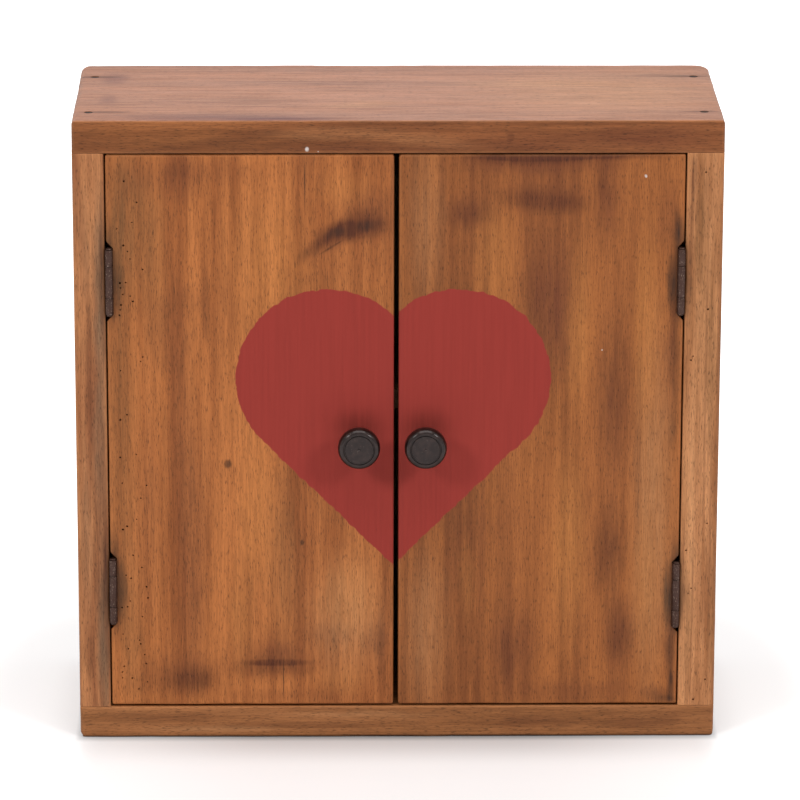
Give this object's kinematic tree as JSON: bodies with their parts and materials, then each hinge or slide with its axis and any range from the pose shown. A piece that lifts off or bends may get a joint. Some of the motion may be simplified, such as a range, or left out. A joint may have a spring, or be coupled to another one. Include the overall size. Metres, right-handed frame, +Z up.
{
  "type": "medicine cabinet",
  "caption": "Wooden wall cabinet for medicines: a box of thick planks with inset plank doors on iron butt hinges, round knobs, magnetic catches and a shelf.",
  "frame": {"origin": "middle of the underside of the box, knobs and hinges left aside", "axes": "+X to the right of someone facing the doors, +Y back to the wall, +Z up"},
  "size_m": [0.35, 0.1555, 0.35],
  "materials": {
    "carcass_wood": "old brown hardwood planks, sanded and waxed",
    "door_wood": "old orange brown hardwood planks, waxed, with a sign in matt red paint across both doors",
    "inner_wood": "planed hardwood, oiled",
    "back_plywood": "plain plywood",
    "blackened_iron": "blackened iron, dull and worn",
    "bronzed_metal": "dark bronzed metal, turned, satin",
    "fastener_steel": "zinc plated",
    "plate_steel": "rolled, bright",
    "ferrite": "pressed and fired ferrite",
    "catch_plastic": "moulded",
    "wood_filler": "dark filler, rubbed flush"
  },
  "bodies": {
    "carcass": {"back_panel": "back_plywood", "back_panel_pins": "fastener_steel", "bottom_board": "carcass_wood", "bottom_nails": "fastener_steel", "catch_screws": "fastener_steel", "cleat_screws": "fastener_steel", "hanging_rail": "inner_wood", "left_catch_housing": "catch_plastic", "left_catch_magnet": "ferrite", "left_catch_poles": "plate_steel", "left_hinge_frame_screws": "fastener_steel", "left_lower_hinge_frame_leaf": "blackened_iron", "left_lower_hinge_pin": "blackened_iron", "left_shelf_cleat": "inner_wood", "left_side": "carcass_wood", "left_upper_hinge_frame_leaf": "blackened_iron", "left_upper_hinge_pin": "blackened_iron", "nail_plugs": "wood_filler", "rail_screws": "fastener_steel", "right_catch_housing": "catch_plastic", "right_catch_magnet": "ferrite", "right_catch_poles": "plate_steel", "right_hinge_frame_screws": "fastener_steel", "right_lower_hinge_frame_leaf": "blackened_iron", "right_lower_hinge_pin": "blackened_iron", "right_shelf_cleat": "inner_wood", "right_side": "carcass_wood", "right_upper_hinge_frame_leaf": "blackened_iron", "right_upper_hinge_pin": "blackened_iron", "shelf": "inner_wood", "top_board": "carcass_wood", "top_nails": "fastener_steel"},
    "left_door_assembly": {"left_door": "door_wood", "left_hinge_door_screws": "fastener_steel", "left_knob": "bronzed_metal", "left_knob_screw": "fastener_steel", "left_knob_washer": "fastener_steel", "left_lower_hinge_door_leaf": "blackened_iron", "left_strike_plate": "plate_steel", "left_strike_screws": "fastener_steel", "left_upper_hinge_door_leaf": "blackened_iron"},
    "right_door_assembly": {"right_door": "door_wood", "right_hinge_door_screws": "fastener_steel", "right_knob": "bronzed_metal", "right_knob_screw": "fastener_steel", "right_knob_washer": "fastener_steel", "right_lower_hinge_door_leaf": "blackened_iron", "right_strike_plate": "plate_steel", "right_strike_screws": "fastener_steel", "right_upper_hinge_door_leaf": "blackened_iron"}
  },
  "joints": [
    {"name": "left_door_swing", "type": "hinge", "parent": "carcass", "child": "left_door_assembly", "pos_m": [-0.1558, -0.0681, 0.175], "axis": [0, 0, -1], "range_deg": [0, 180]},
    {"name": "right_door_swing", "type": "hinge", "parent": "carcass", "child": "right_door_assembly", "pos_m": [0.1528, -0.0681, 0.175], "axis": [0, 0, 1], "range_deg": [0, 180]}
  ]
}
